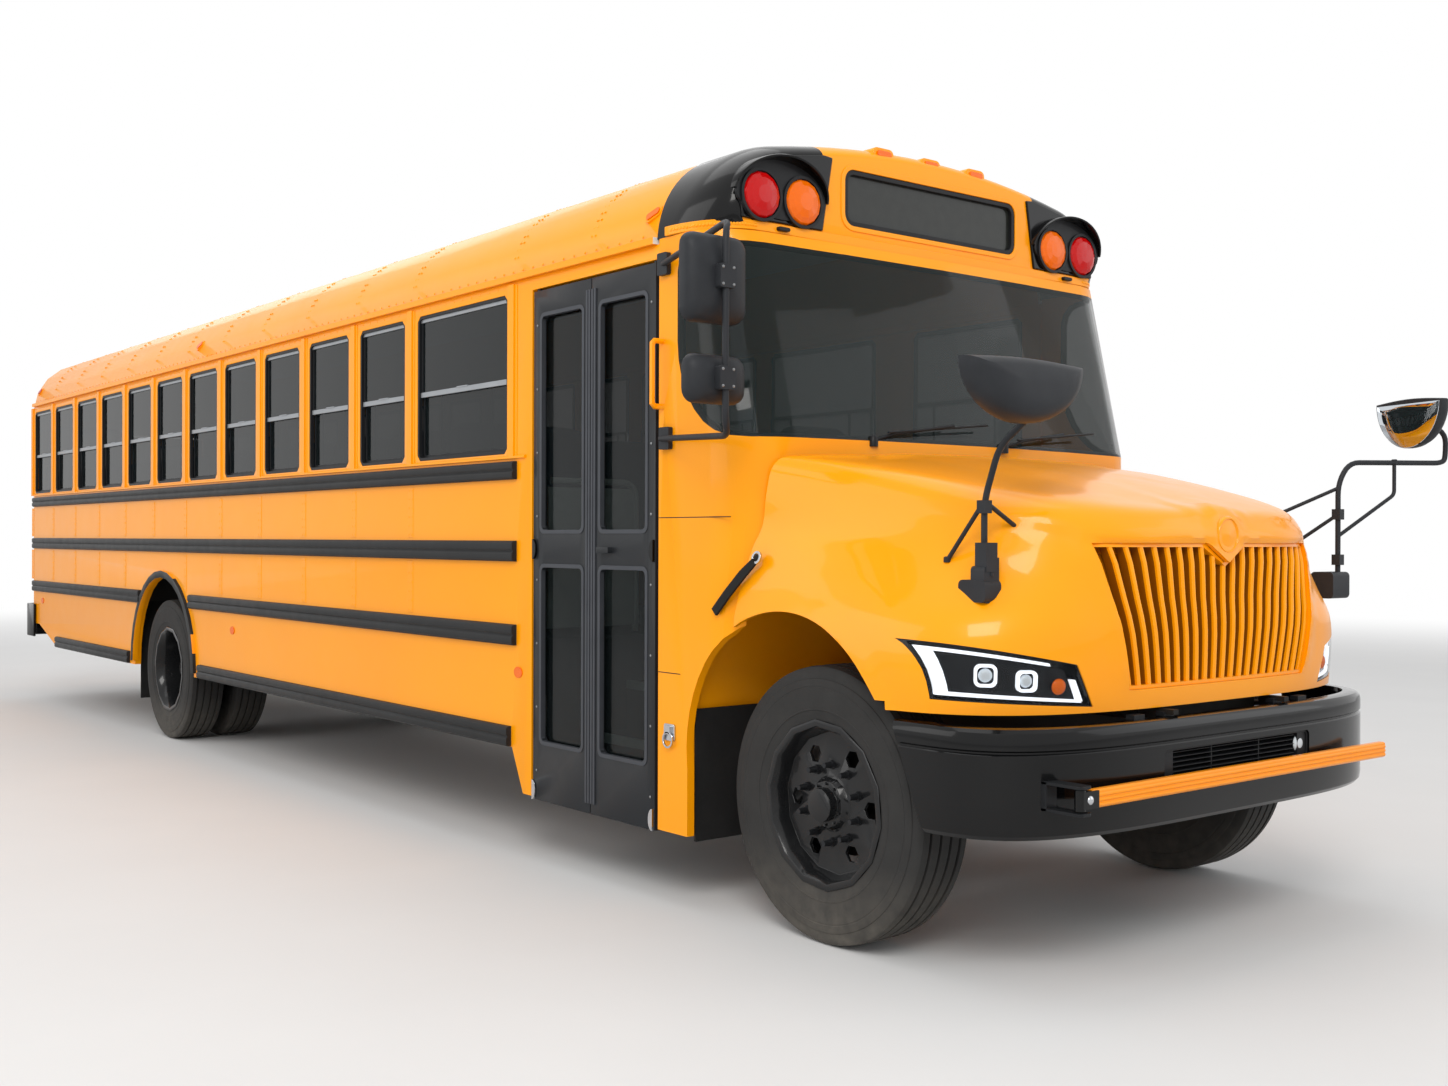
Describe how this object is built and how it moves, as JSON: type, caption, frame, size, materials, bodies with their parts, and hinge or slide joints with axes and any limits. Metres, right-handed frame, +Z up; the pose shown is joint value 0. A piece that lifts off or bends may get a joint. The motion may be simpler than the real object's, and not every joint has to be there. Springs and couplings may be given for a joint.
{
  "type": "school bus",
  "caption": "Yellow school bus with a long tilting hood, folding entrance door, swing-out crossing gate and stop arm, and rear emergency door.",
  "frame": {"origin": "on the ground under the middle of the whole bus, halfway along its length", "axes": "+Z up, the bus faces -Y, the driver's left side is +X and the entrance door is on the -X side"},
  "size_m": [3.2775, 12.02, 3.2158],
  "materials": {
    "bus_paint": "glossy yellow",
    "roof_white": "satin white",
    "black_paint": "gloss black",
    "black_plastic": "matt black",
    "rubber_black": "matt",
    "tyre": "matt",
    "tinted_glass": "dark tint",
    "chassis_steel": "satin black",
    "seat_vinyl": "matt",
    "sign_red": "satin",
    "lamp_lens": "clear"
  },
  "bodies": {
    "body": {"floor": "rubber_black", "right_wall": "bus_paint", "left_wall": "bus_paint", "roof": "roof_white", "rear_wall": "bus_paint", "front_cap": "bus_paint", "cowl": "bus_paint", "windshield": "tinted_glass", "right_windows": "tinted_glass", "left_windows": "tinted_glass", "right_rear_glass": "tinted_glass", "left_rear_glass": "tinted_glass", "right_seats": "seat_vinyl", "left_seats": "seat_vinyl", "driver_seat": "seat_vinyl", "dashboard": "black_plastic", "frame": "chassis_steel", "engine": "chassis_steel", "fuel_tank": "chassis_steel", "front_axle": "chassis_steel", "rear_axle": "chassis_steel", "exhaust": "chassis_steel", "front_bumper": "black_paint", "rear_bumper": "black_paint", "right_mirrors": "black_plastic", "left_mirrors": "black_plastic", "right_front_flap": "rubber_black", "left_front_flap": "rubber_black", "rear_flaps": "rubber_black"},
    "hood_assembly": {"hood": "bus_paint", "grille": "bus_paint", "right_headlight": "lamp_lens", "left_headlight": "lamp_lens", "right_cross_mirror": "black_plastic", "left_cross_mirror": "black_plastic"},
    "front_leaf": {"front_door_leaf": "black_paint", "front_door_leaf_glass": "tinted_glass"},
    "rear_leaf": {"rear_door_leaf": "black_paint", "rear_door_leaf_glass": "tinted_glass"},
    "emergency_exit": {"emergency_door": "bus_paint", "emergency_door_glass": "tinted_glass"},
    "gate": {"crossing_gate": "bus_paint"},
    "stop_sign": {"stop_arm": "sign_red"},
    "front_hatch": {"front_roof_hatch": "roof_white"},
    "rear_hatch": {"rear_roof_hatch": "roof_white"},
    "right_steering_knuckle": {"right_knuckle": "chassis_steel"},
    "left_steering_knuckle": {"left_knuckle": "chassis_steel"},
    "right_front_wheel_set": {"right_front_tyre": "tyre", "right_front_wheel": "black_paint"},
    "left_front_wheel_set": {"left_front_tyre": "tyre", "left_front_wheel": "black_paint"},
    "right_rear_wheel_set": {"right_rear_outer_tyre": "tyre", "right_rear_inner_tyre": "tyre", "right_rear_wheel": "black_paint"},
    "left_rear_wheel_set": {"left_rear_outer_tyre": "tyre", "left_rear_inner_tyre": "tyre", "left_rear_wheel": "black_paint"}
  },
  "joints": [
    {"name": "right_steer", "type": "hinge", "parent": "body", "child": "right_steering_knuckle", "pos_m": [-0.8, -4.94, 0.51], "axis": [0, 0, 1], "range_deg": [-35, 35]},
    {"name": "left_steer", "type": "hinge", "parent": "body", "child": "left_steering_knuckle", "pos_m": [0.8, -4.94, 0.51], "axis": [0, 0, 1], "range_deg": [-35, 35]},
    {"name": "right_front_spin", "type": "hinge", "parent": "right_steering_knuckle", "child": "right_front_wheel_set", "pos_m": [-0.88, -4.94, 0.51], "axis": [1, 0, 0], "continuous": true},
    {"name": "left_front_spin", "type": "hinge", "parent": "left_steering_knuckle", "child": "left_front_wheel_set", "pos_m": [0.88, -4.94, 0.51], "axis": [1, 0, 0], "continuous": true},
    {"name": "right_rear_spin", "type": "hinge", "parent": "body", "child": "right_rear_wheel_set", "pos_m": [-0.935, 2.12, 0.51], "axis": [1, 0, 0], "continuous": true},
    {"name": "left_rear_spin", "type": "hinge", "parent": "body", "child": "left_rear_wheel_set", "pos_m": [0.935, 2.12, 0.51], "axis": [1, 0, 0], "continuous": true},
    {"name": "front_leaf_swing", "type": "hinge", "parent": "body", "child": "front_leaf", "pos_m": [-1.2045, -4.015, 0], "axis": [0, 0, 1], "range_deg": [0, 90]},
    {"name": "rear_leaf_swing", "type": "hinge", "parent": "body", "child": "rear_leaf", "pos_m": [-1.2045, -3.105, 0], "axis": [0, 0, -1], "range_deg": [0, 90]},
    {"name": "hood_tilt", "type": "hinge", "parent": "body", "child": "hood_assembly", "pos_m": [0, -5.895, 0.893], "axis": [1, 0, 0], "range_deg": [0, 60]},
    {"name": "gate_swing", "type": "hinge", "parent": "body", "child": "gate", "pos_m": [-0.97, -5.98, 0], "axis": [0, 0, -1], "range_deg": [0, 90]},
    {"name": "stop_sign_swing", "type": "hinge", "parent": "body", "child": "stop_sign", "pos_m": [1.268, -2.92, 0], "axis": [0, 0, -1], "range_deg": [0, 90]},
    {"name": "emergency_exit_swing", "type": "hinge", "parent": "body", "child": "emergency_exit", "pos_m": [-0.37, 5.904, 0], "axis": [0, 0, 1], "range_deg": [0, 100]},
    {"name": "front_hatch_lift", "type": "hinge", "parent": "body", "child": "front_hatch", "pos_m": [0, -1.77, 3.2158], "axis": [1, 0, 0], "range_deg": [0, 70]},
    {"name": "rear_hatch_lift", "type": "hinge", "parent": "body", "child": "rear_hatch", "pos_m": [0, 2.83, 3.2158], "axis": [1, 0, 0], "range_deg": [0, 70]}
  ],
  "couplings": [
    {"joint": "left_steer", "follows": "right_steer", "ratio": 1},
    {"joint": "rear_leaf_swing", "follows": "front_leaf_swing", "ratio": 1}
  ]
}
